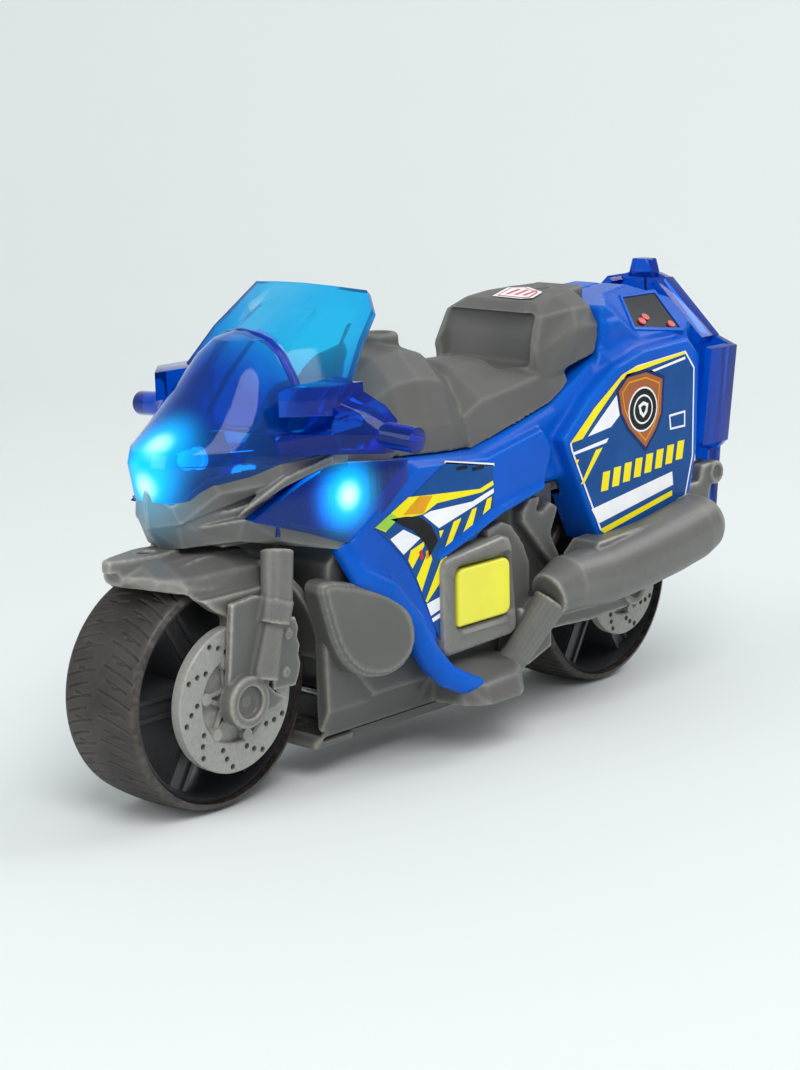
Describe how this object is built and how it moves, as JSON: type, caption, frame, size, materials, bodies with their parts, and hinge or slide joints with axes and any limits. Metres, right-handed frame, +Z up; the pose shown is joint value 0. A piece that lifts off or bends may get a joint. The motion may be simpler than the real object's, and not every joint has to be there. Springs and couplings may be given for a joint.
{
  "type": "toy motorcycle",
  "caption": "Free-wheeling toy patrol motorcycle with a clear blue screen and side lamps, a sound button, one exhaust and drilled brake discs.",
  "frame": {"origin": "on the ground under the middle of the motorcycle", "axes": "+X forward along the motorcycle, +Y to the rider's left, +Z up"},
  "size_m": [0.1452, 0.0658, 0.0829],
  "materials": {
    "body_blue": "moulded, semi-gloss, saturated blue",
    "trim_grey": "moulded mid grey with a fine texture",
    "clear_blue": "clear tinted blue moulding, polished",
    "tyre_black": "soft black with moulded sipes",
    "rim_black": "satin black moulding",
    "disc_grey": "light grey moulding",
    "steel": "plain bright steel",
    "button_yellow": "soft yellow moulding",
    "window_dark": "smoked pane",
    "reflector_red": "red insert",
    "board_green": "printed board",
    "lamp_white": "clear lamp, cyan white when lit",
    "part_black": "black moulding",
    "contact_brass": "sprung contact metal"
  },
  "bodies": {
    "front_wheel": {"front_tyre": "tyre_black", "front_rim": "rim_black", "front_disc_left": "disc_grey", "front_disc_right": "disc_grey", "front_axle": "steel"},
    "rear_wheel": {"rear_tyre": "tyre_black", "rear_rim": "rim_black", "rear_disc_left": "disc_grey", "rear_disc_right": "disc_grey", "rear_axle": "steel"},
    "sound_button_body": {"sound_button": "button_yellow"},
    "battery_door_body": {"battery_door": "trim_grey", "battery_door_screw": "steel"},
    "motorcycle": {"fork_leg_left": "trim_grey", "fork_leg_right": "trim_grey", "fork_yoke": "trim_grey", "front_mudguard": "trim_grey", "brake_caliper_left": "trim_grey", "brake_caliper_right": "trim_grey", "chassis_left": "trim_grey", "chassis_right": "trim_grey", "chassis_screws": "steel", "swingarm_left": "trim_grey", "swingarm_right": "trim_grey", "air_guide_left": "trim_grey", "air_guide_right": "trim_grey", "exhaust_silencer": "trim_grey", "header_pipe": "trim_grey", "body_shell_left": "body_blue", "body_shell_right": "body_blue", "body_screws": "steel", "seat_tank_cover": "trim_grey", "nose_trim": "trim_grey", "side_lens_left": "clear_blue", "side_lens_right": "clear_blue", "windscreen": "clear_blue", "handlebar": "clear_blue", "tail_light_panel": "clear_blue", "tail_window_left": "window_dark", "tail_window_right": "window_dark", "tail_reflectors": "reflector_red", "circuit_board": "board_green", "tact_switch": "part_black", "speaker": "part_black", "led_nose": "lamp_white", "led_left": "lamp_white", "led_right": "lamp_white", "button_cells": "steel", "battery_contacts": "contact_brass", "battery_box": "trim_grey", "button_bezel": "trim_grey"}
  },
  "joints": [
    {"name": "front_wheel_spin", "type": "hinge", "parent": "motorcycle", "child": "front_wheel", "pos_m": [0.053, 0, 0.0196], "axis": [0, 1, 0], "continuous": true},
    {"name": "rear_wheel_spin", "type": "hinge", "parent": "motorcycle", "child": "rear_wheel", "pos_m": [-0.047, 0, 0.0196], "axis": [0, 1, 0], "continuous": true},
    {"name": "sound_button_press", "type": "slide", "parent": "motorcycle", "child": "sound_button_body", "axis": [0, -1, 0], "range_m": [0, 0.001], "stiffness_N_per_m": 1200, "springref_m": -0.0005},
    {"name": "battery_door_lift", "type": "slide", "parent": "motorcycle", "child": "battery_door_body", "axis": [0, 0, -1], "range_m": [0, 0.0045]}
  ]
}
